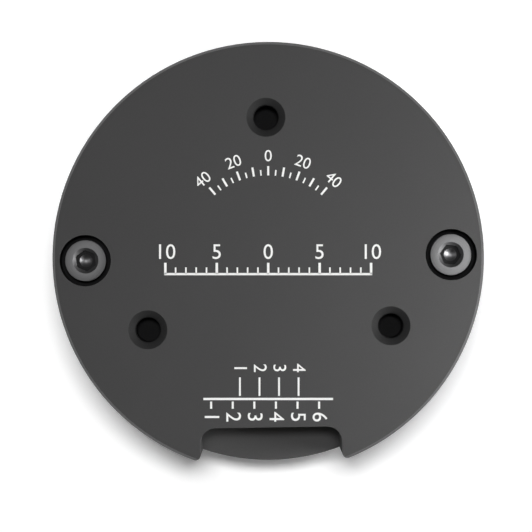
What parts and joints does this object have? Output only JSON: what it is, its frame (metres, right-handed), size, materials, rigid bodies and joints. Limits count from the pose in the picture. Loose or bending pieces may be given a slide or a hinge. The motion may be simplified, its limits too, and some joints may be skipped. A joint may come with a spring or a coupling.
{
  "type": "bldc servo motor",
  "caption": "Flat round brushless servo motor: an outrunner rotor turns on a fixed housing whose rear cover holds the driver board, with a plug notch in its rim.",
  "frame": {"origin": "centre of the rotor's flat output face, on the spin axis", "axes": "+Z along the spin axis from the output face towards the rear cover; -Y towards the plug notch"},
  "size_m": [0.042, 0.0414, 0.024],
  "materials": {
    "anodised_aluminium": "bead-blasted dark grey anodised aluminium",
    "rotor_aluminium": "turned dark anodised aluminium",
    "flux_steel": "blackened steel",
    "screw_steel": "satin alloy steel",
    "bearing_steel": "polished bearing steel",
    "magnet_nickel": "nickel-plated magnet",
    "lamination_steel": "stacked electrical steel sheets",
    "insulator_plastic": "natural moulded nylon",
    "enamelled_copper": "enamelled copper wire",
    "board_laminate": "green solder mask on glass-epoxy board",
    "chip_plastic": "black moulded package",
    "capacitor_ceramic": "tan ceramic with tinned ends",
    "header_plastic": "natural moulded nylon",
    "pin_brass": "tin-plated brass contact"
  },
  "bodies": {
    "housing": {"rear_cover": "anodised_aluminium", "stator_base": "anodised_aluminium", "cover_screws": "screw_steel", "driver_board": "board_laminate", "board_screws": "screw_steel", "power_header": "header_plastic", "power_header_pins": "pin_brass", "signal_header": "header_plastic", "signal_header_pins": "pin_brass", "controller_chip": "chip_plastic", "gate_driver_chip": "chip_plastic", "transceiver_chip": "chip_plastic", "power_stage_chips": "chip_plastic", "encoder_chip": "chip_plastic", "board_capacitors": "capacitor_ceramic", "buck_choke": "lamination_steel", "stator_core": "lamination_steel", "front_insulator": "insulator_plastic", "rear_insulator": "insulator_plastic", "phase_leads": "enamelled_copper", "front_bearing_outer_ring": "bearing_steel", "rear_bearing_outer_ring": "bearing_steel", "preload_spring": "bearing_steel", "coil_01": "enamelled_copper", "coil_02": "enamelled_copper", "coil_03": "enamelled_copper", "coil_04": "enamelled_copper", "coil_05": "enamelled_copper", "coil_06": "enamelled_copper", "coil_07": "enamelled_copper", "coil_08": "enamelled_copper", "coil_09": "enamelled_copper", "coil_10": "enamelled_copper", "coil_11": "enamelled_copper", "coil_12": "enamelled_copper"},
    "rotor": {"rotor_bell": "rotor_aluminium", "flux_ring": "flux_steel", "shaft": "bearing_steel", "sensor_magnet": "magnet_nickel", "retaining_ring": "screw_steel", "front_bearing_inner_ring": "bearing_steel", "rear_bearing_inner_ring": "bearing_steel", "magnet_01": "magnet_nickel", "magnet_02": "magnet_nickel", "magnet_03": "magnet_nickel", "magnet_04": "magnet_nickel", "magnet_05": "magnet_nickel", "magnet_06": "magnet_nickel", "magnet_07": "magnet_nickel", "magnet_08": "magnet_nickel", "magnet_09": "magnet_nickel", "magnet_10": "magnet_nickel", "magnet_11": "magnet_nickel", "magnet_12": "magnet_nickel", "magnet_13": "magnet_nickel", "magnet_14": "magnet_nickel"}
  },
  "joints": [
    {"name": "rotor_spin", "type": "hinge", "parent": "housing", "child": "rotor", "pos_m": [0, 0, 0.0076], "axis": [0, 0, 1], "continuous": true}
  ]
}
